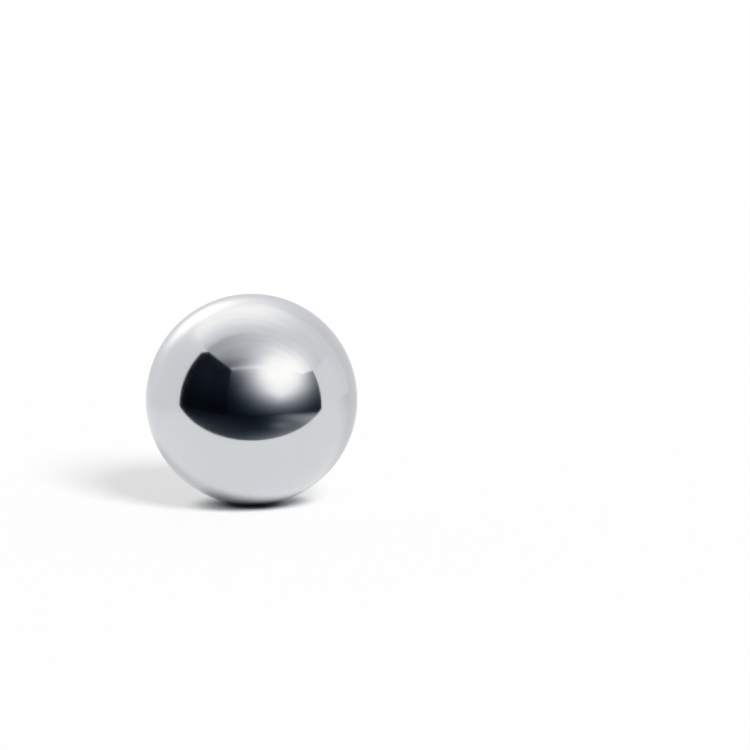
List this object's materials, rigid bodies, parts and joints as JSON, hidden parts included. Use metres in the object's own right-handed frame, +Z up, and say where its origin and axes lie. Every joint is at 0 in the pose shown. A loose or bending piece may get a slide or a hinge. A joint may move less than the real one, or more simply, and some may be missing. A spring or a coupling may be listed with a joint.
{
  "type": "steel ball",
  "caption": "Solid round ball of hardened steel with a mirror-polished surface all over, for rolling in a bearing, seating in a cup or use as a weight or gauge.",
  "frame": {"origin": "centre of the ball", "axes": "+Z up when the ball sits on a level seat; the ball is the same about every axis"},
  "size_m": [0.05, 0.05, 0.05],
  "materials": {
    "polished_steel": "polished"
  },
  "bodies": {
    "root": {"ball": "polished_steel"}
  },
  "joints": []
}
